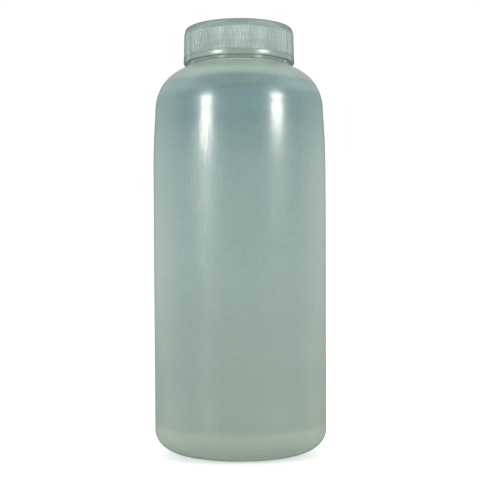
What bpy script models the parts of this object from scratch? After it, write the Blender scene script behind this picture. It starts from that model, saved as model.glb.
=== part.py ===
"""A one-litre wide-mouth reagent bottle with a ribbed screw cap and a foam liner.

Metres, +Z up. The bottle stands on z = 0, its axis is the Z axis and its front is -Y.
The bottle is one blow-moulded piece and the cap one injection-moulded piece.
"""

import math

import bmesh
import bpy

# Bottle, outside
BODY_RADIUS = 0.0440
WIDEST_Z = 0.1430
SHOULDER_RADIUS = 0.0430
SHOULDER_Z = 0.17175
SHOULDER_CENTRE_R = 0.0121
SHOULDER_RISE = 0.02544
SHOULDER_POWER = 0.848
HEEL_RADIUS = 0.0435
HEEL_CENTRE_R = 0.0254
HEEL_HEIGHT = 0.0124
HEEL_POWER = 0.924
FOOT_WIDTH = 0.0020  # the flat ring that the bottle stands on, inwards from the heel
PUSH_UP = 0.0026  # how far the base is pushed up inside that ring
PUSH_UP_RAMP = 0.0060
CROWN = 0.0006  # the dome of the pushed-up part

# Neck and its thread
NECK_RADIUS = 0.0233
MOUTH_RADIUS = 0.0211
LIP_Z = 0.2110
LIP_ROUND = 0.0006
NECK_FILLET = 0.0010
THREAD_PITCH = 0.004233  # six threads to the inch, right-handed
THREAD_TURNS = 1.25
THREAD_FADE_TURNS = 0.06
THREAD_FRONT_Z = 0.2063  # height of the neck's ridge where it crosses the front
THREAD_CREST_R = 0.0248
RIDGE_BASE_WIDTH = 0.0020
RIDGE_CREST_WIDTH = 0.0009
STEPS_PER_TURN = 64

# The thick collar inside, under the neck
COLLAR_RADIUS = 0.0275
COLLAR_Z = 0.1900
COLLAR_ROUND = 0.0010

# Walls
BODY_WALL = 0.0013
SHOULDER_WALL = 0.0015
BASE_WALL = 0.0017

# Screw cap
CAP_TOP_Z = 0.2154
CAP_RIM_Z = 0.1975
CAP_WALL_R = 0.02755
CAP_BEAD_R = 0.02838
CAP_BEAD_TOP_Z = 0.2004
CAP_EDGE_ROUND = 0.0016
PANEL_UNDERSIDE_Z = 0.2126
SKIRT_INNER_R = 0.0254
SKIRT_MOUTH_R = 0.0260
SKIRT_MOUTH_Z = 0.1990
CAP_THREAD_CREST_R = 0.0240
CAP_THREAD_DROP = 0.00165  # the cap's ridge lies this far under the neck's
RIB_COUNT = 136
RIB_LOW_Z = 0.2003
RIB_TOP_Z = 0.2130
RIB_FADE = 0.0008
RIB_VALLEY_R = 0.02765
RIB_CREST_LOW_R = 0.02828
RIB_CREST_TOP_R = 0.02800

# Liner
LINER_RADIUS = 0.0249
LINER_UNDERSIDE_Z = 0.2113
LINER_THICKNESS = 0.0010
LINER_EDGE = 0.0002

SEGMENTS = 64
SUNK = 0.0005  # how deep a ridge or a rib reaches into the wall it stands on
SMOOTH_BELOW = math.radians(35)
FULL_TURN = 2 * math.pi


def clear_scene():
    for obj in list(bpy.data.objects):
        bpy.data.objects.remove(obj, do_unlink=True)


def plastic(name, colour, roughness, alpha):
    """A moulded plastic: untinted and see-through, or an opaque foam where alpha is one."""
    material = bpy.data.materials.new(name)
    material.use_nodes = True
    shader = material.node_tree.nodes["Principled BSDF"]
    shader.inputs["Base Color"].default_value = (*colour, 1.0)
    shader.inputs["Roughness"].default_value = roughness
    shader.inputs["Metallic"].default_value = 0.0
    shader.inputs["Alpha"].default_value = alpha
    return material


def object_from(bm, name, material=None):
    mesh = bpy.data.meshes.new(name)
    bmesh.ops.recalc_face_normals(bm, faces=bm.faces)
    bm.to_mesh(mesh)
    bm.free()
    mesh.shade_smooth()
    mesh.set_sharp_from_angle(angle=SMOOTH_BELOW)
    if material:
        mesh.materials.append(material)
    obj = bpy.data.objects.new(name, mesh)
    bpy.context.scene.collection.objects.link(obj)
    return obj


def add_shape(target, tool):
    """Joins the tool's volume to the target. The tool stays as a hidden guide."""
    tool.hide_render = True
    tool.display_type = "WIRE"
    union = target.modifiers.new(tool.name, "BOOLEAN")
    union.operation = "UNION"
    union.solver = "EXACT"
    union.object = tool


def quarter_oval(centre, size, power, angles, steps):
    """Points (r, z) on a squarish oval, from one angle to the other, in degrees.

    An angle of 0 is straight out from the axis, and 90 is straight up or down by size's sign.
    """
    start, end = angles
    points = []
    for i in range(steps + 1):
        angle = math.radians(start + (end - start) * i / steps)
        out = max(math.cos(angle), 0.0) ** power
        up = max(math.sin(angle), 0.0) ** power
        points.append((centre[0] + size[0] * out, centre[1] + size[1] * up))
    return points


def bend(start, corner, end, steps):
    """A quadratic curve from start to end, pulled towards the corner, without its ends."""
    points = []
    for i in range(1, steps):
        t = i / steps
        a, b, c = (1 - t) ** 2, 2 * t * (1 - t), t * t
        points.append(tuple(a * s + b * k + c * e for s, k, e in zip(start, corner, end)))
    return points


def turned(profile):
    """A solid of revolution from points (r, z) that start and end on the axis."""
    bm = bmesh.new()
    chain = [bm.verts.new((r, 0.0, z)) for r, z in profile]
    edges = [bm.edges.new(pair) for pair in zip(chain, chain[1:])]
    bmesh.ops.spin(
        bm,
        geom=chain + edges,
        cent=(0, 0, 0),
        axis=(0, 0, 1),
        angle=FULL_TURN,
        steps=SEGMENTS,
        use_merge=True,
    )
    bmesh.ops.remove_doubles(bm, verts=bm.verts, dist=1e-6)
    return bm


def shoulder(wall, neck_radius, steps):
    """The shoulder's curve up to where the neck's fillet starts."""
    size = (SHOULDER_RADIUS - SHOULDER_CENTRE_R - wall, SHOULDER_RISE - wall)
    reach = (neck_radius + NECK_FILLET - SHOULDER_CENTRE_R) / size[0]
    end = math.degrees(math.acos(reach ** (1 / SHOULDER_POWER)))
    centre = (SHOULDER_CENTRE_R, SHOULDER_Z)
    return quarter_oval(centre, size, SHOULDER_POWER, (0, end), steps)


def neck_fillet(below, neck_radius, steps):
    """The hollow corner between the shoulder's last point and the neck."""
    corner = (neck_radius, below[1] + 0.3 * NECK_FILLET)
    end = (neck_radius, below[1] + 1.3 * NECK_FILLET)
    return bend(below, corner, end, steps) + [end]


def collar_fillet(above, radius, steps):
    """The hollow corner between the shoulder's last point inside and the collar's side."""
    corner = (radius, above[1] + 0.3 * NECK_FILLET)
    end = (radius, above[1] - NECK_FILLET)
    return bend(above, corner, end, steps) + [end]


def collar(start, steps):
    """The collar's side, underside and inner corner, from the shoulder's last point inside."""
    side = (COLLAR_RADIUS, COLLAR_Z + COLLAR_ROUND)
    under_outer = (COLLAR_RADIUS - COLLAR_ROUND, COLLAR_Z)
    under_inner = (MOUTH_RADIUS + COLLAR_ROUND, COLLAR_Z)
    bore = (MOUTH_RADIUS, COLLAR_Z + COLLAR_ROUND)
    points = collar_fillet(start, COLLAR_RADIUS, steps)
    points += [side] + bend(side, (COLLAR_RADIUS, COLLAR_Z), under_outer, steps)
    points += [under_outer, under_inner]
    return points + bend(under_inner, (MOUTH_RADIUS, COLLAR_Z), bore, steps) + [bore]


def heel(wall, floor, steps):
    """The rounded corner of the base, from the wall down to the foot."""
    centre = (HEEL_CENTRE_R, HEEL_HEIGHT)
    size = (HEEL_RADIUS - HEEL_CENTRE_R - wall, floor - HEEL_HEIGHT)
    return quarter_oval(centre, size, HEEL_POWER, (0, 90), steps)


def body_wall(wall, flare_steps, draw_in_steps):
    """The slightly flared wall from above the heel to below the shoulder."""
    points = []
    for i in range(1, flare_steps + 1):
        share = i / flare_steps
        radius = HEEL_RADIUS + (BODY_RADIUS - HEEL_RADIUS) * share
        points.append((radius - wall, HEEL_HEIGHT + (WIDEST_Z - HEEL_HEIGHT) * share))
    for i in range(1, draw_in_steps):
        share = i / draw_in_steps
        radius = BODY_RADIUS - (BODY_RADIUS - SHOULDER_RADIUS) * share**2
        points.append((radius - wall, WIDEST_Z + (SHOULDER_Z - WIDEST_Z) * share))
    return points


def base(floor, ramp_steps):
    """The foot ring and the push-up, from the heel inwards to the axis."""
    foot_inner = HEEL_CENTRE_R - FOOT_WIDTH
    points = [(foot_inner, floor)]
    for i in range(1, ramp_steps + 1):
        share = i / ramp_steps
        rise = PUSH_UP * (1 - math.cos(math.pi * share)) / 2
        points.append((foot_inner - PUSH_UP_RAMP * share, floor + rise))
    crown_r = foot_inner - PUSH_UP_RAMP
    for share in (0.5, 0.0):
        points.append((crown_r * share, floor + PUSH_UP + CROWN * (1 - share**2)))
    return points


def bottle_profile():
    """From the middle of the inner floor, up the inside, over the lip and down the outside."""
    inner_shoulder = shoulder(SHOULDER_WALL, COLLAR_RADIUS, 5)
    inner = list(reversed(base(BASE_WALL, 2)))
    inner += list(reversed(heel(BODY_WALL, BASE_WALL, 4)))
    inner += body_wall(BODY_WALL, 1, 2)
    inner += inner_shoulder
    inner += collar(inner_shoulder[-1], 2)
    lip = [
        (MOUTH_RADIUS, LIP_Z - LIP_ROUND),
        (MOUTH_RADIUS + 0.3 * LIP_ROUND, LIP_Z - 0.3 * LIP_ROUND),
        (MOUTH_RADIUS + LIP_ROUND, LIP_Z),
        (NECK_RADIUS - LIP_ROUND, LIP_Z),
        (NECK_RADIUS - 0.3 * LIP_ROUND, LIP_Z - 0.3 * LIP_ROUND),
        (NECK_RADIUS, LIP_Z - LIP_ROUND),
    ]
    outer_shoulder = shoulder(0.0, NECK_RADIUS, 10)
    outer = outer_shoulder + neck_fillet(outer_shoulder[-1], NECK_RADIUS, 3)
    outer = body_wall(0.0, 2, 4) + outer
    outer = list(reversed(heel(0.0, 0.0, 7))) + outer
    outer = list(reversed(base(0.0, 3))) + outer
    return inner + lip + list(reversed(outer))


def thread_ridge(name, wall_radius, crest_radius, drop):
    """One helical ridge with faded ends, for the neck's outside or the skirt's inside."""
    bm = bmesh.new()
    outwards = math.copysign(1.0, crest_radius - wall_radius)
    root = wall_radius - outwards * SUNK
    steps = round(THREAD_TURNS * STEPS_PER_TURN)
    sections = []
    for i in range(steps + 1):
        turns = THREAD_TURNS * (i / steps - 0.5)
        angle = -FULL_TURN / 4 + FULL_TURN * turns
        to_end = min(i, steps - i) / steps * THREAD_TURNS
        height = min(1.0, to_end / THREAD_FADE_TURNS)
        crest = wall_radius - outwards * SUNK / 2
        crest += (crest_radius - crest) * height
        middle = THREAD_FRONT_Z - drop + THREAD_PITCH * turns
        base_half, crest_half = RIDGE_BASE_WIDTH / 2, RIDGE_CREST_WIDTH / 2
        corners = (
            (root, middle - base_half),
            (crest, middle - crest_half),
            (crest, middle + crest_half),
            (root, middle + base_half),
        )
        sections.append(
            [bm.verts.new((r * math.cos(angle), r * math.sin(angle), z)) for r, z in corners]
        )
    for low, high in zip(sections, sections[1:]):
        for a, b in ((0, 1), (1, 2), (2, 3), (3, 0)):
            bm.faces.new((low[a], low[b], high[b], high[a]))
    bm.faces.new(sections[0])
    bm.faces.new(reversed(sections[-1]))
    return object_from(bm, name)


def make_bottle():
    material = plastic("bottle_plastic", (0.47, 0.56, 0.52), 0.28, 0.6)
    bottle = object_from(turned(bottle_profile()), "bottle", material)
    add_shape(bottle, thread_ridge("neck_thread", NECK_RADIUS, THREAD_CREST_R, 0.0))


def cap_profile():
    """From the middle of the panel's underside, down the inside and up the outside."""
    inner = [
        (0.0, PANEL_UNDERSIDE_Z),
        (SKIRT_INNER_R, PANEL_UNDERSIDE_Z),
        (SKIRT_INNER_R, SKIRT_MOUTH_Z),
        (SKIRT_MOUTH_R, CAP_RIM_Z + 0.0004),
        (SKIRT_MOUTH_R + 0.0004, CAP_RIM_Z),
    ]
    bead = [
        (CAP_BEAD_R - 0.0004, CAP_RIM_Z),
        (CAP_BEAD_R, CAP_RIM_Z + 0.0004),
        (CAP_BEAD_R - 0.00005, CAP_BEAD_TOP_Z - 0.0002),
        (CAP_WALL_R, CAP_BEAD_TOP_Z),
    ]
    edge_centre = (CAP_WALL_R - CAP_EDGE_ROUND, CAP_TOP_Z - CAP_EDGE_ROUND)
    edge = quarter_oval(edge_centre, (CAP_EDGE_ROUND, CAP_EDGE_ROUND), 1, (0, 90), 5)
    return inner + bead + edge + [(0.0, CAP_TOP_Z)]


def rib_ring():
    """The grip ribs: a ring with a scalloped outside, sunk into the skirt's wall."""
    bm = bmesh.new()
    levels = (
        (RIB_LOW_Z, RIB_CREST_LOW_R),
        (RIB_TOP_Z - RIB_FADE, RIB_CREST_TOP_R),
        (RIB_TOP_Z, RIB_VALLEY_R),
    )
    count = 2 * RIB_COUNT
    rings = []
    for z, crest in levels:
        ring = []
        for i in range(count):
            angle = FULL_TURN * i / count
            r = RIB_VALLEY_R if i % 2 else crest
            ring.append(bm.verts.new((r * math.cos(angle), r * math.sin(angle), z)))
        rings.append(ring)
    for z in (RIB_TOP_Z, RIB_LOW_Z):
        r = CAP_WALL_R - SUNK
        angles = [FULL_TURN * i / count for i in range(count)]
        rings.append([bm.verts.new((r * math.cos(a), r * math.sin(a), z)) for a in angles])
    for low, high in zip(rings, rings[1:] + rings[:1]):
        for i in range(count):
            j = (i + 1) % count
            bm.faces.new((low[i], low[j], high[j], high[i]))
    return object_from(bm, "grip_ribs")


def make_cap():
    material = plastic("cap_plastic", (0.50, 0.60, 0.55), 0.32, 0.75)
    cap = object_from(turned(cap_profile()), "screw_cap", material)
    add_shape(cap, rib_ring())
    ridge = thread_ridge("cap_thread", SKIRT_INNER_R, CAP_THREAD_CREST_R, CAP_THREAD_DROP)
    add_shape(cap, ridge)


def make_liner():
    top = LINER_UNDERSIDE_Z + LINER_THICKNESS
    profile = [
        (0.0, top),
        (LINER_RADIUS - LINER_EDGE, top),
        (LINER_RADIUS, top - LINER_EDGE),
        (LINER_RADIUS, LINER_UNDERSIDE_Z + LINER_EDGE),
        (LINER_RADIUS - LINER_EDGE, LINER_UNDERSIDE_Z),
        (0.0, LINER_UNDERSIDE_Z),
    ]
    material = plastic("liner_foam", (0.72, 0.78, 0.74), 0.6, 1.0)
    object_from(turned(profile), "cap_liner", material)


clear_scene()
make_bottle()
make_cap()
make_liner()
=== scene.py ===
import math

import bpy
import numpy as np
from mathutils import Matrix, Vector


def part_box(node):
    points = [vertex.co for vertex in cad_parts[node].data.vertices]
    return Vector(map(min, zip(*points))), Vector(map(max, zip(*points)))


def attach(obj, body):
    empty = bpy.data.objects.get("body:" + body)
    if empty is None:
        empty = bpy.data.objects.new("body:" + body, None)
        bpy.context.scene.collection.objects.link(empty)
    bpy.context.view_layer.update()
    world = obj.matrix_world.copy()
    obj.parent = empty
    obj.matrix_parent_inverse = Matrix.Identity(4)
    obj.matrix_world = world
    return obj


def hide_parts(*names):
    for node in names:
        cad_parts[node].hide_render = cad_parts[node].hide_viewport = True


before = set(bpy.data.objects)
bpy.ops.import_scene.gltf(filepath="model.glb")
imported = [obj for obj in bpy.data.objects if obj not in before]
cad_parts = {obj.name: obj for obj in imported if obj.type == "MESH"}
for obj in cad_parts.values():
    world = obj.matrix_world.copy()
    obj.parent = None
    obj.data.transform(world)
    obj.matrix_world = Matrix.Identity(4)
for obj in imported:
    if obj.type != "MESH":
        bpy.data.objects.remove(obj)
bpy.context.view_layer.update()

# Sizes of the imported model, in metres
BOTTLE_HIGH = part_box("bottle")[1]
CAP_LOW, CAP_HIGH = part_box("screw_cap")
LINER_LOW, LINER_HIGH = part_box("cap_liner")

# The bottle's walls, as the CAD model has them. The visible outside lies SKIN inside the CAD wall, so
# that the seam and the waves stay inside it too.
SKIN = 0.00008
BODY_RADIUS = BOTTLE_HIGH.x
WIDEST_Z = 0.1430
SHOULDER_DRAW_IN = 0.0010
SHOULDER_RADIUS = BODY_RADIUS - SHOULDER_DRAW_IN
SHOULDER_Z = 0.17175
SHOULDER_CENTRE_R = 0.0121
SHOULDER_RISE = 0.02544
SHOULDER_POWER = 0.848
HEEL_DRAW_IN = 0.0005
HEEL_RADIUS = BODY_RADIUS - HEEL_DRAW_IN
HEEL_CENTRE_R = 0.0254
HEEL_HEIGHT = 0.0124
HEEL_POWER = 0.924
FOOT_WIDTH = 0.0020
PUSH_UP = 0.0026
PUSH_UP_RAMP = 0.0060
CROWN = 0.0006
BODY_WALL = 0.0013
SHOULDER_WALL = 0.0015
BASE_WALL = 0.0017

# The neck and its thread
NECK_RADIUS = 0.0233
MOUTH_RADIUS = 0.0211
LIP_Z = BOTTLE_HIGH.z
LIP_ROUND = 0.0007
NECK_START = 0.0002  # from the lip's rounding down to the neck's first point
NECK_FILLET = 0.0010
FILLET_PULL = 0.3  # how far up the fillet its corner lies, in fillets
COLLAR_RADIUS = 0.0275
COLLAR_Z = 0.1900
COLLAR_ROUND = 0.0010
THREAD_PITCH = 0.004233
THREAD_TURNS = 1.25
THREAD_FADE = 0.10  # in turns
THREAD_FRONT_Z = 0.2063
THREAD_HEIGHT = 0.0015
RIDGE_BASE = 0.0020
RIDGE_CREST = 0.0009

# The screw cap
CAP_TOP_Z = CAP_HIGH.z
CAP_RIM_Z = CAP_LOW.z
CAP_WALL_R = 0.02755
CAP_BEAD_R = CAP_HIGH.x
CAP_BEAD_TOP_Z = 0.2004
CAP_EDGE_ROUND = 0.0016
LINER_GAP = 0.0003
PANEL_UNDERSIDE_Z = LINER_HIGH.z + LINER_GAP
SKIRT_INNER_R = 0.0254
SKIRT_MOUTH_R = 0.0260
SKIRT_MOUTH_Z = 0.1990
MOUTH_FLARE = (0.0003, 0.0005)  # the flare's first step, out and down
RIM_CHAMFER = 0.0002
CAP_THREAD_HEIGHT = 0.0014
CAP_THREAD_DROP = 0.00165
RIB_COUNT = 136
RIB_TOP_Z = 0.2130
RIB_CREST_LOW_R = 0.02828
RIB_CREST_TOP_R = 0.02800
RIB_DEPTH = 0.00032
RIB_FADE = 0.0008
GATE_RADIUS = 0.0016
GATE_DEPTH = 0.00025
GATE_SLOPE = 0.0001
PANEL_CORNER = 0.0004
BEAD_ROUND = 0.0005
BEAD_GAP = 0.00005

# Small features of the mouldings
SEAM_WIDTH = 0.0005
SEAM_HEIGHT = 0.00007
WAVE_HEIGHT = 0.00005
WAVES = ((0.5, 2, 1.3, 31), (0.3, 3, -2.1, -47), (0.2, 5, 0.7, 83))  # share, count, phase, slope
PINCH_WIDTH = 0.0007
PINCH_HEIGHT = 0.0004
PINCH_LENGTH = 0.0215
PINCH_FADE = 0.002
LINER_ROUND = 0.0002
LINER_DENT = 0.00012
DENT_EDGE = 1.3  # in half widths of the lip
DENT_SLOPE = 0.6

# How finely the pieces are made
BOTTLE_COLUMNS = 360
COLUMNS_PER_RIB = 6
LINER_COLUMNS = 180

# Regions of an outline
INSIDE, NECK, BODY, BELOW = 0, 1, 2, 3
BEAD, RIBS, PANEL = 1, 2, 3
NOWHERE = -1

FULL_TURN = 2 * math.pi
FRONT = -math.pi / 2


# ---------------------------------------------------------------- outlines


def ease(t):
    """0 below 0, 1 above 1, smooth between."""
    t = np.clip(t, 0.0, 1.0)
    return t * t * (3 - 2 * t)


def quarter_oval(centre, size, power, start, end, steps):
    """Points (r, z) on a squarish oval, by angle in degrees from straight out."""
    angle = np.radians(np.linspace(start, end, steps + 1))
    out = np.maximum(np.cos(angle), 0.0) ** power
    up = np.maximum(np.sin(angle), 0.0) ** power
    return list(zip(centre[0] + size[0] * out, centre[1] + size[1] * up))


def straight(start, end, steps):
    """Points from start to end, without the end."""
    share = np.linspace(0, 1, steps + 1)[:-1]
    return [tuple(np.array(start) * (1 - s) + np.array(end) * s) for s in share]


def bend(start, corner, end, steps):
    """A quadratic curve from start to end, pulled towards the corner, without its ends."""
    points = []
    for i in range(1, steps):
        t = i / steps
        a, b, c = (1 - t) ** 2, 2 * t * (1 - t), t * t
        points.append(tuple(a * s + b * k + c * e for s, k, e in zip(start, corner, end)))
    return points


def shoulder(wall, neck_radius, steps):
    size = (SHOULDER_RADIUS - SHOULDER_CENTRE_R - wall, SHOULDER_RISE - wall)
    reach = (neck_radius + NECK_FILLET - SHOULDER_CENTRE_R) / size[0]
    end = math.degrees(math.acos(reach ** (1 / SHOULDER_POWER)))
    centre = (SHOULDER_CENTRE_R, SHOULDER_Z)
    return quarter_oval(centre, size, SHOULDER_POWER, 0, end, steps)


def neck_fillet(below, neck_radius, steps):
    corner = (neck_radius, below[1] + FILLET_PULL * NECK_FILLET)
    end = (neck_radius, below[1] + (1 + FILLET_PULL) * NECK_FILLET)
    return bend(below, corner, end, steps) + [end]


def collar(start, steps):
    """The side, underside and inner corner of the thick collar inside, under the neck."""
    corner = (COLLAR_RADIUS, start[1] + FILLET_PULL * NECK_FILLET)
    side_top = (COLLAR_RADIUS, start[1] - NECK_FILLET)
    side = (COLLAR_RADIUS, COLLAR_Z + COLLAR_ROUND)
    under_outer = (COLLAR_RADIUS - COLLAR_ROUND, COLLAR_Z)
    under_inner = (MOUTH_RADIUS + COLLAR_ROUND, COLLAR_Z)
    bore = (MOUTH_RADIUS, COLLAR_Z + COLLAR_ROUND)
    points = bend(start, corner, side_top, steps) + straight(side_top, side, steps=3) + [side]
    points += bend(side, (COLLAR_RADIUS, COLLAR_Z), under_outer, steps)
    points += straight(under_outer, under_inner, steps=6) + [under_inner]
    return points + bend(under_inner, (MOUTH_RADIUS, COLLAR_Z), bore, steps) + [bore]


def heel(wall, floor, steps):
    centre = (HEEL_CENTRE_R, HEEL_HEIGHT)
    size = (HEEL_RADIUS - HEEL_CENTRE_R - wall, floor - HEEL_HEIGHT)
    return quarter_oval(centre, size, HEEL_POWER, 0, 90, steps)


def body_wall(wall, flare_steps, draw_in_steps):
    points = []
    for i in range(1, flare_steps + 1):
        share = i / flare_steps
        radius = HEEL_RADIUS + (BODY_RADIUS - HEEL_RADIUS) * share
        points.append((radius - wall, HEEL_HEIGHT + (WIDEST_Z - HEEL_HEIGHT) * share))
    for i in range(1, draw_in_steps):
        share = i / draw_in_steps
        radius = BODY_RADIUS - (BODY_RADIUS - SHOULDER_RADIUS) * share**2
        points.append((radius - wall, WIDEST_Z + (SHOULDER_Z - WIDEST_Z) * share))
    return points


def base(floor, ramp_steps, crown_steps):
    foot_inner = HEEL_CENTRE_R - FOOT_WIDTH
    points = [(foot_inner, floor)]
    for i in range(1, ramp_steps + 1):
        share = i / ramp_steps
        rise = PUSH_UP * (1 - math.cos(math.pi * share)) / 2
        points.append((foot_inner - PUSH_UP_RAMP * share, floor + rise))
    crown_r = foot_inner - PUSH_UP_RAMP
    for i in range(crown_steps - 1, -1, -1):
        share = i / crown_steps
        points.append((crown_r * share, floor + PUSH_UP + CROWN * (1 - share**2)))
    return points


def bottle_outline():
    """(points, region) from the middle of the inner floor, over the lip, to the middle of the base."""
    inner_shoulder = shoulder(SHOULDER_WALL, COLLAR_RADIUS, steps=18)
    inner = list(reversed(base(BASE_WALL, ramp_steps=8, crown_steps=5)))
    inner += list(reversed(heel(BODY_WALL, BASE_WALL, steps=16)))
    inner += body_wall(BODY_WALL, flare_steps=24, draw_in_steps=10)
    inner += inner_shoulder
    inner += collar(inner_shoulder[-1], steps=6)
    round_z = LIP_Z - LIP_ROUND
    bore_start = (MOUTH_RADIUS, inner[-1][1] + COLLAR_ROUND)
    inner += straight(bore_start, (MOUTH_RADIUS, round_z), steps=10)
    lip = quarter_oval((MOUTH_RADIUS + LIP_ROUND, round_z), (-LIP_ROUND, LIP_ROUND), 1, 0, 90, steps=5)
    lip += quarter_oval((NECK_RADIUS - LIP_ROUND, round_z), (LIP_ROUND, LIP_ROUND), 1, 90, 0, steps=5)
    outer_shoulder = shoulder(0.0, NECK_RADIUS, steps=36)
    fillet = neck_fillet(outer_shoulder[-1], NECK_RADIUS, steps=8)
    neck = straight((NECK_RADIUS, round_z - NECK_START), fillet[-1], steps=64)
    body = list(reversed(fillet)) + list(reversed(outer_shoulder))
    body += list(reversed(body_wall(0.0, flare_steps=48, draw_in_steps=18)))
    body += heel(0.0, 0.0, steps=24)
    below = base(0.0, ramp_steps=12, crown_steps=6)
    points = inner + lip + neck + body + below
    region = [INSIDE] * len(inner) + [NECK] * (len(lip) + len(neck))
    region += [BODY] * len(body) + [BELOW] * len(below)
    return np.array(points), np.array(region)


# ---------------------------------------------------------------- meshes


def ridge(theta, z, drop):
    """0 to 1: how far a point of a wall stands up on the thread."""
    height = np.zeros(theta.shape)
    flank_width = (RIDGE_BASE - RIDGE_CREST) / 2
    for whole in (-1, 0, 1, 2):
        turns = (theta - FRONT) / FULL_TURN - whole
        middle = THREAD_FRONT_Z - drop + THREAD_PITCH * turns
        flank = ease((RIDGE_BASE / 2 - np.abs(z - middle)) / flank_width)
        ends = ease((THREAD_TURNS / 2 - np.abs(turns)) / THREAD_FADE)
        height = np.maximum(height, flank * ends)
    return height


def turned_mesh(name, outline, region, theta, shape, inside):
    """A closed turned body. outline runs (r, z) from the axis to the axis, with a region number
    for each point; theta are the columns' angles. shape(theta, r, z, region) moves the points,
    and the faces of the region called inside take the second material."""
    rings, columns = len(outline) - 2, len(theta)
    t = np.repeat(theta[None, :], rings, axis=0)
    r, z, zone = (
        np.repeat(np.asarray(a, float)[1:-1, None], columns, axis=1)
        for a in (outline[:, 0], outline[:, 1], region)
    )
    r, z = shape(t, r, z, zone)
    grid = np.stack([r * np.cos(t), r * np.sin(t), z], axis=-1).reshape(-1, 3)
    poles = [(0.0, 0.0, outline[0, 1]), (0.0, 0.0, outline[-1, 1])]
    k, i = np.meshgrid(np.arange(rings - 1), np.arange(columns), indexing="ij")
    j = (i + 1) % columns
    above, below = k * columns, (k + 1) * columns
    quads = np.stack([above + i, below + i, below + j, above + j], -1)
    i, j = i[0], j[0]
    start, end = np.full(columns, rings * columns), np.full(columns, rings * columns + 1)
    last = (rings - 1) * columns
    fans = np.concatenate([np.stack([start, i, j], -1), np.stack([end, last + j, last + i], -1)])
    along = np.concatenate([[0], np.cumsum(np.hypot(*np.diff(outline, axis=0).T))])
    around = np.append(theta, theta[0] + FULL_TURN) / FULL_TURN
    u0, u1 = around[:-1], around[1:]
    a0, a1 = along[1:-2, None] + 0 * u0, along[2:-1, None] + 0 * u0
    b0, b1 = u0 + 0 * a0, u1 + 0 * a0
    uv = [np.stack([b0, a0, b0, a1, b1, a1, b1, a0], -1).reshape(-1, 2)]
    first, second, before_last, last_along = (
        np.full(columns, along[place]) for place in (0, 1, -2, -1)
    )
    uv.append(np.stack([u0, first, u0, second, u1, second], -1).reshape(-1, 2))
    uv.append(np.stack([u0, last_along, u1, before_last, u0, before_last], -1).reshape(-1, 2))
    mesh = bpy.data.meshes.new(name)
    faces = quads.reshape(-1, 4).tolist() + fans.tolist()
    mesh.from_pydata(np.vstack([grid, poles]).tolist(), [], faces)
    ring_zone = np.asarray(region)[1:-1]
    slots = np.repeat(ring_zone[1:] == inside, columns).astype(int).tolist()
    slots += [int(region[0] == inside)] * columns + [int(region[-1] == inside)] * columns
    mesh.polygons.foreach_set("material_index", slots)
    layer = mesh.uv_layers.new(name="wrap")
    layer.data.foreach_set("uv", np.vstack(uv).astype(np.float32).ravel())
    mesh.shade_smooth()
    mesh.update()
    obj = bpy.data.objects.new(name, mesh)
    bpy.context.scene.collection.objects.link(obj)
    return obj


def seam_columns(count):
    """Even columns with closer ones beside the two mould seams, at +X and -X."""
    close = np.array([-3, -2, -1, 1, 2, 3]) * SEAM_WIDTH / 3 / BODY_RADIUS
    angles = np.concatenate([np.arange(count) / count * FULL_TURN, close, close + math.pi])
    return np.unique(np.round(np.mod(angles, FULL_TURN), 9))


def bottle_shape(theta, r, z, zone):
    """The thread, the mould seam, the pinch line under the base and the wall's faint waves."""
    outer = (zone == NECK) | (zone == BODY)
    side = np.abs(np.sin(theta)) * r
    seam = ease(1 - side / SEAM_WIDTH) * outer
    wave = sum(
        share * np.sin(count * theta + phase + slope * z) for share, count, phase, slope in WAVES
    )
    wall = ease((r - NECK_RADIUS) / (BODY_RADIUS - NECK_RADIUS)) * (zone == BODY)
    r = r - SKIN * outer + SEAM_HEIGHT * seam - WAVE_HEIGHT * (1 + wave) * wall
    r = r + THREAD_HEIGHT * ridge(theta, z, 0.0) * (zone == NECK)
    pinch = ease(1 - side / PINCH_WIDTH) * ease((PINCH_LENGTH - r) / PINCH_FADE) * (zone == BELOW)
    return r, z - PINCH_HEIGHT * pinch


def make_bottle(outside, inside):
    outline, region = bottle_outline()
    bottle = turned_mesh(
        "bottle_shell", outline, region, seam_columns(BOTTLE_COLUMNS), bottle_shape, INSIDE
    )
    bottle.data.materials.append(outside)
    bottle.data.materials.append(inside)
    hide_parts("bottle")
    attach(bottle, "bottle")


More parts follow.
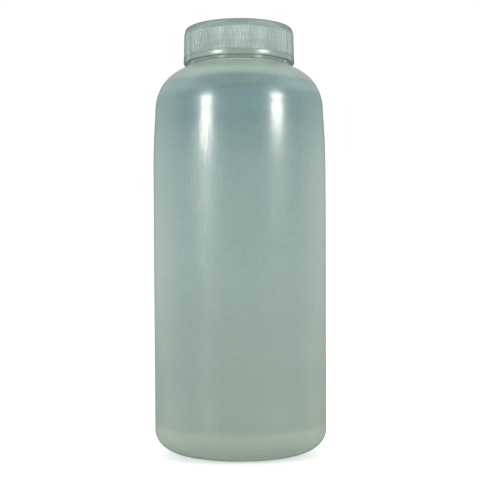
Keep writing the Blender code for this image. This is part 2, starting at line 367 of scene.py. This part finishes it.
def cap_outline():
    """(points, region) from the middle of the panel's underside, down the inside, up the outside."""
    corner_r = SKIRT_INNER_R - PANEL_CORNER
    skirt_top = (SKIRT_INNER_R, PANEL_UNDERSIDE_Z - 2 * PANEL_CORNER)
    inner = straight((0.0, PANEL_UNDERSIDE_Z), (corner_r, PANEL_UNDERSIDE_Z), steps=4)
    inner += [(corner_r, PANEL_UNDERSIDE_Z), (SKIRT_INNER_R, PANEL_UNDERSIDE_Z - PANEL_CORNER)]
    inner += straight(skirt_top, (SKIRT_INNER_R, SKIRT_MOUTH_Z), steps=46)
    out, down = MOUTH_FLARE
    inner += [(SKIRT_INNER_R, SKIRT_MOUTH_Z), (SKIRT_INNER_R + out, SKIRT_MOUTH_Z - down)]
    inner += [(SKIRT_MOUTH_R, CAP_RIM_Z + 2 * RIM_CHAMFER)]
    inner += [(SKIRT_MOUTH_R + RIM_CHAMFER, CAP_RIM_Z + RIM_CHAMFER / 2)]
    bead = [(SKIRT_MOUTH_R + BEAD_ROUND, CAP_RIM_Z)]
    low = (CAP_BEAD_R - BEAD_ROUND, CAP_RIM_Z + BEAD_ROUND)
    bead += list(reversed(quarter_oval(low, (BEAD_ROUND, -BEAD_ROUND), 1, 0, 90, steps=4)))
    top = (CAP_BEAD_R - BEAD_ROUND - BEAD_GAP, CAP_BEAD_TOP_Z - BEAD_ROUND)
    bead += quarter_oval(top, (BEAD_ROUND, BEAD_ROUND), 1, 0, 80, steps=4)
    ribs = [(CAP_WALL_R, CAP_BEAD_TOP_Z + BEAD_GAP)]
    ribs += straight((CAP_WALL_R, CAP_BEAD_TOP_Z + 4 * BEAD_GAP), (CAP_WALL_R, RIB_TOP_Z), steps=16)
    centre = (CAP_WALL_R - CAP_EDGE_ROUND, CAP_TOP_Z - CAP_EDGE_ROUND)
    edge = quarter_oval(centre, (CAP_EDGE_ROUND, CAP_EDGE_ROUND), 1, 0, 90, steps=8)
    panel_outer = (centre[0] - PANEL_CORNER, CAP_TOP_Z)
    panel = straight(panel_outer, (GATE_RADIUS + PANEL_CORNER, CAP_TOP_Z), steps=6)
    gate = [(GATE_RADIUS, CAP_TOP_Z), (GATE_RADIUS - GATE_SLOPE, CAP_TOP_Z - GATE_DEPTH)]
    gate += [(GATE_RADIUS / 2, CAP_TOP_Z - GATE_DEPTH), (0.0, CAP_TOP_Z - GATE_DEPTH)]
    region = [INSIDE] * len(inner) + [BEAD] * len(bead) + [RIBS] * len(ribs)
    region += [PANEL] * (len(edge) + len(panel) + len(gate))
    return np.array(inner + bead + ribs + edge + panel + gate), np.array(region)


def cap_shape(theta, r, z, zone):
    """The grip ribs outside and the thread inside."""
    ribs = zone == RIBS
    round_rib = 0.5 - 0.5 * np.cos(theta * RIB_COUNT)
    share = np.clip((z - CAP_BEAD_TOP_Z) / (RIB_TOP_Z - CAP_BEAD_TOP_Z), 0, 1)
    crest = RIB_CREST_LOW_R + (RIB_CREST_TOP_R - RIB_CREST_LOW_R) * share
    fade = ease((RIB_TOP_Z - z) / RIB_FADE)
    r = r + ribs * (crest - RIB_DEPTH * (1 - round_rib) - CAP_WALL_R) * fade
    beside_thread = (r > SKIRT_INNER_R - PANEL_CORNER / 4) & (z > SKIRT_MOUTH_Z)
    inner_wall = (zone == INSIDE) & beside_thread
    return r - inner_wall * CAP_THREAD_HEIGHT * ridge(theta, z, CAP_THREAD_DROP), z


def make_cap(outside, inside):
    outline, region = cap_outline()
    count = RIB_COUNT * COLUMNS_PER_RIB
    theta = np.arange(count) / count * FULL_TURN
    cap = turned_mesh("cap_shell", outline, region, theta, cap_shape, INSIDE)
    cap.data.materials.append(outside)
    cap.data.materials.append(inside)
    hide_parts("screw_cap")
    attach(cap, "cap")


def liner_outline():
    """Points from the middle of the top to the middle of the underside, with the dent of the lip."""
    low, high, edge = LINER_LOW.z, LINER_HIGH.z, LINER_ROUND
    side = LINER_HIGH.x - edge
    points = straight((0.0, high), (side, high), steps=5)
    points += quarter_oval((side, high - edge), (edge, edge), 1, 90, 0, steps=4)
    points += quarter_oval((side, low + edge), (edge, -edge), 1, 0, 90, steps=4)
    middle = (NECK_RADIUS + MOUTH_RADIUS) / 2
    half = (NECK_RADIUS - MOUTH_RADIUS) / 2
    for across in (DENT_EDGE, 1.1, 0.7, 0.0, -0.7, -1.1, -DENT_EDGE):
        dent = LINER_DENT * float(ease((DENT_EDGE - abs(across)) / DENT_SLOPE))
        points.append((middle + half * across, low + dent))
    points += straight((middle - 1.5 * half, low), (0.0, low), steps=5) + [(0.0, low)]
    return np.array(points)


def as_drawn(theta, r, z, zone):
    """A smooth disc: every point stays where the outline has it."""
    return r, z


def make_liner(skin):
    """The foam disc, with the ring that the bottle's lip has pressed into it."""
    outline = liner_outline()
    theta = np.arange(LINER_COLUMNS) / LINER_COLUMNS * FULL_TURN
    region = np.zeros(len(outline), int)
    liner = turned_mesh("liner_disc", outline, region, theta, as_drawn, NOWHERE)
    liner.data.materials.append(skin)
    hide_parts("cap_liner")
    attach(liner, "liner")


# ---------------------------------------------------------------- materials

# Texture of the plastic and the foam; the scales are in cells to the metre
CLOUD_SCALE = 18.0
CLOUD_DEPTH = 0.06
MOTTLE_SCALE = 160.0
GRAIN_SCALE = 500.0
HAZE_SCALE = 700.0
SPECK_SCALE = 1400.0
WORN_SCALE = 55.0
MARK_STRETCH = (1500.0, 50.0, 1.0)
BUMP_DEPTH = 0.0001
SCUFF_DEPTH = 1.6
SCUFF_TONE = 0.18
FOAM_CELLS = 3200.0
FOAM_MOTTLE = 300.0
FOAM_TONES = ((0.62, 0.70, 0.65), (0.78, 0.84, 0.79))

# Colours of the plastic, and of the painted light and shade laid on it
WHITE = (1.0, 1.0, 1.0)
WARM_HEIGHTS = (0.009, 0.120)
WARM_BACK = (0.32, 0.36, 0.27)
WARM_THROUGH = (0.47, 0.51, 0.39)
# Painted shade: the dark colour laid into the walls along the silhouette
PAINTED_SILHOUETTE_SHADE = (0.05, 0.08, 0.07)
PALE = (0.88, 0.92, 0.84)
# Partly the milkier thick plastic, partly painted light that lifts the shade under the cap
MILK_AND_PAINTED_LIGHT = (0.82, 0.88, 0.80)
# Painted shade for the inside of the bore
PAINTED_BORE_SHADE = (0.46, 0.48, 0.40)
CAP_FLAT = (0.50, 0.57, 0.52)

# How far the wall stays clear as it turns away, and what is left at its edge
SEE_FALLOFF = 0.33
SEE_LEAST = 0.05

# The walls by height: height, how milky, how clear
RAMP_HEIGHT = 0.22
BODY_STOPS = (
    (0.0045, 0.30, 0.70), (0.0075, 0.55, 0.60),  # the foot
    (0.0095, 1.0, 0.60), (0.0130, 1.0, 0.60),  # the thick corner above it
    (0.0168, 0.22, 0.72), (0.0360, 0.21, 0.72), (0.0560, 0.44, 0.68),  # the lower wall
    (0.0850, 0.62, 0.65), (0.1300, 0.57, 0.60), (0.1450, 0.52, 0.58),  # the middle
    (0.1550, 0.40, 0.56), (0.1700, 0.20, 0.54), (0.1770, 0.10, 0.52),  # thinner to the shoulder
)
OUTER_STOPS = (
    (0.1790, 0.06, 0.60), (0.1802, 0.22, 0.80),  # the shoulder's thin start
    (0.1815, 0.34, 1.0), (0.1849, 0.32, 1.0), (0.1869, 0.75, 1.0), (0.1925, 1.0, 0.80),
    (0.1955, 1.0, 0.50), (0.1985, 1.0, 0.30), (0.2000, 0.80, 0.60), (0.2098, 0.80, 0.60),  # the neck
)
INNER_STOPS = ((0.179, 0.10, 1.0), (0.190, 0.10, 1.0), (0.1935, 0.60, 0.80))
CAP_STOPS = ((0.0, 0.6, 1.0), (0.2108, 0.6, 1.0), (0.2120, 0.0, 0.9))

# Zones: from and to in height, from and to in radius, colour, how solid they look
BOTTLE_ZONES = (
    (0.1915, 0.1964, 0.0200, 0.0275, MILK_AND_PAINTED_LIGHT, 0.5),  # the foot of the neck: partly milkier thick plastic, partly painted light that lifts the cap's shade there
    (0.1990, 0.2120, 0.0237, 0.0300, PALE, 0.5),  # the thread: partly milkier thick plastic, partly painted light so that it shows lit through the cap
    (0.2094, 0.2120, 0.0000, 0.0240, PALE, 0.5),  # the lip: partly milkier thick plastic, partly painted light so that it shows lit through the cap
)
BOTTLE_INSIDE_ZONES = (
    (0.1800, 0.1936, 0.0214, 0.0284, PALE, 0.85),  # the collar
    (0.1898, 0.2105, 0.0200, 0.0216, PAINTED_BORE_SHADE, 0.7),  # the bore: painted shade, a duller and more solid tone for its shaded inside
)
CAP_ZONES = ((0.2145, 0.2160, 0.0000, 0.0262, CAP_FLAT, 0.3),)  # the flat of the top


class Nodes:
    """A material's node tree, with short ways to add and join nodes."""

    def __init__(self, name):
        self.material = bpy.data.materials.new(name)
        self.material.use_nodes = True
        self.tree = self.material.node_tree
        self.tree.nodes.clear()

    def add(self, kind, inputs=None, **settings):
        node = self.tree.nodes.new(kind)
        for key, value in settings.items():
            setattr(node, key, value)
        for key, value in (inputs or {}).items():
            self.feed(node.inputs[key], value)
        return node

    def feed(self, socket, value):
        if isinstance(value, bpy.types.NodeSocket):
            self.tree.links.new(value, socket)
        elif isinstance(value, tuple) and len(value) == 3 and len(socket.default_value) == 4:
            socket.default_value = (*value, 1.0)
        else:
            socket.default_value = value

    def maths(self, operation, *values, clamp=False):
        inputs = {i: v for i, v in enumerate(values)}
        return self.add("ShaderNodeMath", inputs, operation=operation, use_clamp=clamp).outputs[0]

    def noise(self, where, scale, detail=3.0, roughness=0.55, distortion=0.0):
        inputs = {"Vector": where, "Scale": scale, "Detail": detail}
        inputs.update({"Roughness": roughness, "Distortion": distortion})
        return self.add("ShaderNodeTexNoise", inputs).outputs[0]

    def stretched(self, where, scale):
        return self.add("ShaderNodeMapping", {"Vector": where, "Scale": scale}).outputs[0]

    def between(self, value, low, high, to_low=0.0, to_high=1.0):
        """The value's place from low to high, carried to the new range with soft ends."""
        inputs = {"Value": value, "From Min": low, "From Max": high}
        inputs.update({"To Min": to_low, "To Max": to_high})
        return self.add("ShaderNodeMapRange", inputs, interpolation_type="SMOOTHSTEP").outputs[0]

    def band(self, value, low, high, soft=0.0004):
        """1 from low to high, 0 outside, with soft ends."""
        rise = self.between(value, low, low + soft)
        return self.maths("MULTIPLY", rise, self.between(value, high - soft, high, 1.0, 0.0))

    def colour(self, factor, first, second):
        mix = self.add("ShaderNodeMix", data_type="RGBA")
        for index, value in ((0, factor), (6, first), (7, second)):
            self.feed(mix.inputs[index], value)
        return mix.outputs[2]

    def bump(self, height, strength):
        inputs = {"Strength": strength, "Distance": BUMP_DEPTH, "Height": height}
        return self.add("ShaderNodeBump", inputs).outputs[0]

    def mixed(self, factor, first, second):
        return self.add("ShaderNodeMixShader", {0: factor, 1: first, 2: second}).outputs[0]

    def finish(self, shader):
        output = self.add("ShaderNodeOutputMaterial")
        self.tree.links.new(shader, output.inputs["Surface"])
        return self.material


def wrap_coordinates(nodes, radius):
    """(position in the piece, distances around and along the surface), in metres."""
    place = nodes.add("ShaderNodeTexCoord").outputs["Object"]
    uv = nodes.add("ShaderNodeUVMap", uv_map="wrap").outputs[0]
    return place, nodes.stretched(uv, (FULL_TURN * radius, 1.0, 1.0))


def wall_profile(nodes, height, stops):
    """(how milky the wall is, how clear it is) by height, from (height, milkiness, clearness)."""
    ramp = nodes.add("ShaderNodeValToRGB", {0: nodes.maths("MULTIPLY", height, 1 / RAMP_HEIGHT)})
    ramp.color_ramp.interpolation = "EASE"
    points = ramp.color_ramp.elements
    while len(points) < len(stops):
        points.new(0.5)
    for point, (z, milk, clear) in zip(points, stops):
        point.position = z / RAMP_HEIGHT
        point.color = (milk, clear, 0.0, 1.0)
    return nodes.add("ShaderNodeSeparateColor", {0: ramp.outputs[0]}).outputs[:2]


def scuffing(nodes, place, wrap, height, look):
    """Fine upright rubbing marks in patches, strongest at the middle of the body."""
    fine = nodes.noise(nodes.stretched(wrap, MARK_STRETCH), 1.0)
    fine = nodes.between(fine, 0.48, 0.70)
    speck = nodes.between(nodes.noise(place, SPECK_SCALE, 2.0), 0.60, 0.75)
    worn = nodes.between(nodes.noise(place, WORN_SCALE), 0.50, 0.70, 0.0, 0.4)
    patch = nodes.add(
        "ShaderNodeMapping", {"Vector": place, **look["rubbed"]}, vector_type="POINT"
    ).outputs[0]
    distance = nodes.add("ShaderNodeVectorMath", {0: patch}, operation="LENGTH").outputs["Value"]
    worn = nodes.maths("MAXIMUM", worn, nodes.between(distance, 0.4, 1.0, 1.0, 0.0))
    low, low_end, high_start, high = look["worn"]
    rise, fall = nodes.between(height, low, low_end), nodes.between(height, high_start, high, 1.0, 0.0)
    marks = nodes.maths("MULTIPLY", nodes.maths("MAXIMUM", fine, speck), worn)
    marks = nodes.maths("MULTIPLY", marks, nodes.maths("MULTIPLY", rise, fall))
    return nodes.maths("MULTIPLY", marks, look["wear"])


def wall_thickness(nodes, place, milkiness, facing, look):
    """0 for a thin wall, 1 for a thick one: uneven, and more where a slanting way through is longer."""
    cloud = nodes.between(nodes.noise(place, CLOUD_SCALE), 0.3, 0.7, -CLOUD_DEPTH, CLOUD_DEPTH)
    slant = nodes.between(facing, 0.10, 0.80, 0.0, look["slant"])
    return nodes.maths("ADD", nodes.maths("ADD", milkiness, cloud), slant, clamp=True)


def wall_colours(nodes, thick, scuffs, height, look):
    """(colour of the light thrown back, colour of the light let through)."""
    back = nodes.colour(thick, look["thin_back"], look["thick_back"])
    back = nodes.colour(nodes.maths("MULTIPLY", scuffs, SCUFF_TONE), back, look["scuff"])
    through = nodes.colour(thick, look["thin_through"], look["thick_through"])
    warmth = nodes.between(height, *WARM_HEIGHTS, look["warmth"], 0.0)
    return nodes.colour(warmth, back, WARM_BACK), nodes.colour(warmth, through, WARM_THROUGH)


def coloured_zones(nodes, height, radius, colours, clearness, zones):
    """The colours and the clearness with each zone's tone and solidity laid over them; the zone tables
    mark which tones are painted light and which painted shade.
    """
    for low_z, high_z, low_r, high_r, tone, solid in zones:
        level, ring = nodes.band(height, low_z, high_z), nodes.band(radius, low_r, high_r)
        there = nodes.maths("MULTIPLY", level, ring)
        colours = [nodes.colour(there, colour, tone) for colour in colours]
        clearness = nodes.maths("MULTIPLY", clearness, nodes.maths("MULTIPLY_ADD", there, -solid, 1.0))
    return colours, clearness


def clear_share(nodes, clearness, facing, mottle, look):
    """How much of the light goes straight through the wall."""
    see = nodes.between(facing, SEE_FALLOFF, 1.0, look["see"], SEE_LEAST)
    see = nodes.maths("MULTIPLY", clearness, see)
    see = nodes.maths("MULTIPLY", see, nodes.maths("MULTIPLY_ADD", mottle, -0.2, 1.1))
    shadow = nodes.add("ShaderNodeLightPath").outputs["Is Shadow Ray"]
    return nodes.maths("MAXIMUM", see, nodes.maths("MULTIPLY", shadow, look["lets_light"]))


def glossy_skin(nodes, place, roughness, bump, look):
    """(how strong the reflection is, its shader): a clear reflection with a hazier one in patches."""
    strength = nodes.add("ShaderNodeFresnel", {"IOR": look["ior"], "Normal": bump}).outputs[0]
    strength = nodes.maths("MINIMUM", strength, look["gloss_limit"])
    shine, haze = (
        nodes.add(
            "ShaderNodeBsdfGlossy", {"Color": WHITE, "Roughness": rough, "Normal": bump}
        ).outputs[0]
        for rough in (roughness, look["haze_roughness"])
    )
    haziness = nodes.between(nodes.noise(place, HAZE_SCALE), 0.35, 0.65, *look["haze"])
    return strength, nodes.mixed(haziness, shine, haze)


def plastic(name, look):
    """Natural, untinted plastic. A thin wall is clear, with a little bluish haze; a thick one is
    milky and yellower. The skin is glossy."""
    nodes = Nodes(name)
    place, wrap = wrap_coordinates(nodes, look["radius"])
    x, y, height = nodes.add("ShaderNodeSeparateXYZ", {0: place}).outputs
    squares = (nodes.maths("POWER", axis, 2.0) for axis in (x, y))
    radius = nodes.maths("SQRT", nodes.maths("ADD", *squares))
    facing = nodes.add("ShaderNodeLayerWeight", {"Blend": 0.4}).outputs["Facing"]
    mottle = nodes.noise(place, MOTTLE_SCALE)
    scuffs = scuffing(nodes, place, wrap, height, look)

    milkiness, clearness = wall_profile(nodes, height, look["wall"])
    thick = wall_thickness(nodes, place, milkiness, facing, look)
    colours = wall_colours(nodes, thick, scuffs, height, look)
    colours, clearness = coloured_zones(nodes, height, radius, colours, clearness, look["zones"])
    # Painted shade: a dark colour mixed into both wall colours along the silhouette, as the wall turns
    # away from the view
    silhouette_shade = nodes.between(facing, *look["silhouette_shade_from"], 0.0, look["edge"])
    silhouette_shade = nodes.maths("MULTIPLY", silhouette_shade, nodes.between(height, *look["silhouette_shade_until"], 1.0, 0.0))
    back, through = (nodes.colour(silhouette_shade, colour, PAINTED_SILHOUETTE_SHADE) for colour in colours)

    roughness = nodes.maths("MULTIPLY_ADD", scuffs, 0.22, nodes.between(height, *look["smooth"]))
    roughness = nodes.maths("MULTIPLY_ADD", mottle, 0.04, roughness)
    grain = nodes.maths("MULTIPLY_ADD", scuffs, -SCUFF_DEPTH, nodes.noise(place, GRAIN_SCALE, 2.0))
    bump = nodes.bump(grain, look["bump"])

    diffuse = nodes.add("ShaderNodeBsdfDiffuse", {"Color": back, "Normal": bump}).outputs[0]
    glow = nodes.add("ShaderNodeBsdfTranslucent", {"Color": through, "Normal": bump}).outputs[0]
    milk = nodes.mixed(look["translucency"], diffuse, glow)
    clear = nodes.add("ShaderNodeBsdfTransparent", {"Color": look["tint"]}).outputs[0]
    body = nodes.mixed(clear_share(nodes, clearness, facing, mottle, look), milk, clear)
    strength, skin = glossy_skin(nodes, place, roughness, bump, look)
    return nodes.finish(nodes.mixed(strength, body, skin))


def foam(name):
    nodes = Nodes(name)
    place, _ = wrap_coordinates(nodes, LINER_HIGH.x)
    cells = nodes.add("ShaderNodeTexVoronoi", {"Vector": place, "Scale": FOAM_CELLS}).outputs[0]
    mottle = nodes.noise(place, FOAM_MOTTLE)
    body = nodes.add(
        "ShaderNodeBsdfPrincipled",
        {
            "Base Color": nodes.colour(mottle, *FOAM_TONES),
            "Roughness": nodes.maths("MULTIPLY_ADD", mottle, 0.15, 0.6),
            "Normal": nodes.bump(cells, 0.5),
        },
    )
    return nodes.finish(body.outputs[0])


BOTTLE_LOOK = {
    "radius": BODY_RADIUS,
    "thin_back": (0.11, 0.20, 0.22),  # what a thin wall throws back
    "thick_back": (0.375, 0.44, 0.40),
    "thin_through": (0.30, 0.40, 0.40),  # what a thin wall scatters through itself
    "thick_through": (0.595, 0.66, 0.59),
    "warmth": 0.6,  # share of the warmer colours at the foot
    "scuff": (0.60, 0.70, 0.70),
    "tint": (0.88, 0.95, 0.97),  # of the light that goes straight through
    "wall": BODY_STOPS + OUTER_STOPS,
    "zones": BOTTLE_ZONES,
    "slant": 0.32,  # thickness that a wall gains as it turns away
    "edge": 0.45,  # strength of the painted shade along the silhouette
    "silhouette_shade_from": (0.60, 0.95),  # how far the wall has turned away where the painted shade starts and is full
    "silhouette_shade_until": (0.1885, 0.1915),  # heights between which the painted shade fades out
    "see": 0.44,  # share of the light that goes straight through a wall met square
    "lets_light": 0.55,  # share of a light's shadow ray that passes
    "wear": 1.0,
    "worn": (0.060, 0.090, 0.150, 0.170),  # heights at which the marks start, are full, fade and end
    "rubbed": {"Location": (1.15, 2.6, -2.7), "Scale": (62.0, 62.0, 21.0)},  # the patch rubbed most
    "smooth": (0.1988, 0.1996, 0.17, 0.50),  # two heights, then the roughness below and above them
    "haze_roughness": 0.34,
    "haze": (0.30, 0.70),  # least and greatest share of the hazier reflection
    "bump": 0.22,
    "translucency": 0.5,
    "ior": 1.5,
    "gloss_limit": 0.07,
}
BOTTLE_INSIDE_LOOK = dict(
    BOTTLE_LOOK,
    wall=BODY_STOPS + INNER_STOPS,
    zones=BOTTLE_INSIDE_ZONES,
    see=0.90,
    edge=0.0,
    gloss_limit=0.15,
)
CAP_LOOK = dict(
    BOTTLE_LOOK,
    radius=CAP_HIGH.x,
    thin_back=(0.22, 0.30, 0.28),
    thick_back=(0.42, 0.51, 0.47),
    warmth=0.0,
    wall=CAP_STOPS,
    zones=CAP_ZONES,
    slant=0.0,
    # a stronger painted shade along the cap's silhouette
    edge=0.8,
    silhouette_shade_from=(0.30, 0.80),
    silhouette_shade_until=(1.0, 1.1),
    see=0.46,
    lets_light=0.6,
    wear=0.1,
    worn=(0.0, 0.01, 0.3, 0.31),
    smooth=(0.2000, 0.2008, 0.28, 0.42),
    haze=(0.2, 0.2),
    bump=0.05,
)
CAP_INSIDE_LOOK = dict(
    CAP_LOOK, thick_back=(0.42, 0.50, 0.46), see=0.80, smooth=(0.0, 0.01, 0.3, 0.3)
)


# ---------------------------------------------------------------- studio

STRIP_DISTANCE = 1.0
STRIP_COLOUR = (1.0, 0.98, 0.92)
STRIPS = (  # side, azimuth, radiance, then low, high, width and share of the radiance of each part
    ("left", -44.2, 36.0, (
        (0.62, 0.76, 0.08, 0.10), (0.50, 0.62, 0.16, 0.35), (0.29, 0.50, 0.25, 1.0),
        (0.22, 0.29, 0.16, 0.25),
    )),
    ("right", 50.8, 46.0, (
        (0.62, 0.80, 0.10, 0.10), (0.52, 0.62, 0.22, 0.4), (0.38, 0.52, 0.28, 0.9),
        (0.33, 0.40, 0.18, 0.30), (0.26, 0.33, 0.12, 0.05),
    )),
)
MIDDLE_Z = 0.1  # the level that the fill lights stand at and point to
FILL_Y = -0.25
FILL_SIZE = (1.2, 1.2)
FILL_LIGHTS = (  # name, place to the side, power, colour
    ("left_fill", -1.5, 1.1, (0.40, 0.80, 1.35)),
    ("right_fill", 1.5, 0.7, (0.50, 0.80, 0.75)),
)
OVERHEAD_Y = 1.5
OVERHEAD_HEIGHT = 2.5
OVERHEAD_SIZE = (4.0, 4.0)
OVERHEAD_POWER = 15.0
ROOM_COLOUR = (0.34, 0.36, 0.38)
BACKDROP_COLOUR = (1.03, 1.03, 1.03)
BACKDROP_FROM = -0.5  # where the room turns into the backdrop, by the direction's Y
BACKDROP_FULL = 0.6
FLOOR_SIZE = 60.0
FLOOR_DROP = 0.00005
FLOOR_TONES = ((0.80, 0.80, 0.80), (0.83, 0.83, 0.83))
FLOOR_GRAIN = 60.0
FLOOR_GLOW = 0.4
CAMERA_LENS = 78.7  # in millimetres, like the sensor's width
CAMERA_SENSOR = 36.0
CAMERA_DISTANCE = 0.5361
CAMERA_HEIGHT = 0.09246
CAMERA_PITCH = 1.605  # in degrees, like the roll
CAMERA_ROLL = 0.287


def area_light(name, place, target, size, power, colour=WHITE):
    light = bpy.data.lights.new(name, "AREA")
    light.shape = "RECTANGLE"
    light.size, light.size_y = size
    light.energy = power
    light.color = colour
    obj = bpy.data.objects.new(name, light)
    bpy.context.scene.collection.objects.link(obj)
    obj.location = place
    obj.rotation_mode = "QUATERNION"
    away = Vector(place) - Vector(target)
    obj.rotation_quaternion = away.to_track_quat("Z", "Y")
    obj.visible_camera = False


def strip(name, azimuth, low, high, width, radiance):
    """An upright softbox: azimuth in degrees from the front, to the right."""
    a = math.radians(azimuth)
    place = (STRIP_DISTANCE * math.sin(a), -STRIP_DISTANCE * math.cos(a), (low + high) / 2)
    power = radiance * math.pi * width * (high - low)
    area_light(name, place, (0, 0, place[2]), (width, high - low), power, STRIP_COLOUR)


def make_world():
    """A bright backdrop and a dimmer room in front."""
    world = bpy.data.worlds.new("studio")
    world.use_nodes = True
    tree = world.node_tree
    background = tree.nodes["Background"]
    place = tree.nodes.new("ShaderNodeTexCoord")
    apart = tree.nodes.new("ShaderNodeSeparateXYZ")
    ramp = tree.nodes.new("ShaderNodeMapRange")
    mix = tree.nodes.new("ShaderNodeMix")
    mix.data_type = "RGBA"
    ramp.interpolation_type = "SMOOTHSTEP"
    ramp.inputs["From Min"].default_value = BACKDROP_FROM
    ramp.inputs["From Max"].default_value = BACKDROP_FULL
    mix.inputs[6].default_value = (*ROOM_COLOUR, 1.0)
    mix.inputs[7].default_value = (*BACKDROP_COLOUR, 1.0)
    tree.links.new(place.outputs["Generated"], apart.inputs[0])
    tree.links.new(apart.outputs[1], ramp.inputs["Value"])
    tree.links.new(ramp.outputs[0], mix.inputs[0])
    tree.links.new(mix.outputs[2], background.inputs["Color"])
    bpy.context.scene.world = world


def make_lights():
    for side, azimuth, radiance, parts in STRIPS:
        for number, (low, high, width, share) in enumerate(parts):
            strip(f"{side}_strip_{number}", azimuth, low, high, width, radiance * share)
    for name, x, power, colour in FILL_LIGHTS:
        area_light(name, (x, FILL_Y, MIDDLE_Z), (0, 0, MIDDLE_Z), FILL_SIZE, power, colour)
    above = (0, OVERHEAD_Y, OVERHEAD_HEIGHT)
    area_light("overhead", above, (0, OVERHEAD_Y, 0), OVERHEAD_SIZE, OVERHEAD_POWER)


def make_floor():
    nodes = Nodes("pale_floor")
    place = nodes.add("ShaderNodeTexCoord").outputs["Object"]
    grain = nodes.noise(place, FLOOR_GRAIN, 4.0)
    body = nodes.add(
        "ShaderNodeBsdfPrincipled",
        {
            "Base Color": nodes.colour(grain, *FLOOR_TONES),
            "Roughness": nodes.maths("MULTIPLY_ADD", grain, 0.1, 0.4),
            "Emission Color": WHITE,
            "Emission Strength": FLOOR_GLOW,
        },
    )
    mesh = bpy.data.meshes.new("floor")
    half = FLOOR_SIZE / 2
    corners = [(-half, -half, 0), (half, -half, 0), (half, half, 0), (-half, half, 0)]
    mesh.from_pydata(corners, [], [(0, 1, 2, 3)])
    mesh.materials.append(nodes.finish(body.outputs[0]))
    floor = bpy.data.objects.new("floor", mesh)
    bpy.context.scene.collection.objects.link(floor)
    floor.location.z = -FLOOR_DROP


def make_camera():
    camera = bpy.data.cameras.new("camera")
    camera.lens = CAMERA_LENS
    camera.sensor_width = CAMERA_SENSOR
    obj = bpy.data.objects.new("camera", camera)
    bpy.context.scene.collection.objects.link(obj)
    obj.location = (0.0, -CAMERA_DISTANCE, CAMERA_HEIGHT)
    obj.rotation_euler = (math.radians(90 + CAMERA_PITCH), math.radians(CAMERA_ROLL), 0)
    bpy.context.scene.camera = obj


# ---------------------------------------------------------------- the scene

bpy.context.scene.view_settings.view_transform = "Standard"
bpy.context.scene.cycles.transparent_max_bounces = 24
make_bottle(
    plastic("bottle_plastic_skin", BOTTLE_LOOK), plastic("bottle_plastic_inside", BOTTLE_INSIDE_LOOK)
)
make_cap(plastic("cap_plastic_skin", CAP_LOOK), plastic("cap_plastic_inside", CAP_INSIDE_LOOK))
make_liner(foam("liner_foam_cells"))
make_floor()
make_world()
make_lights()
make_camera()
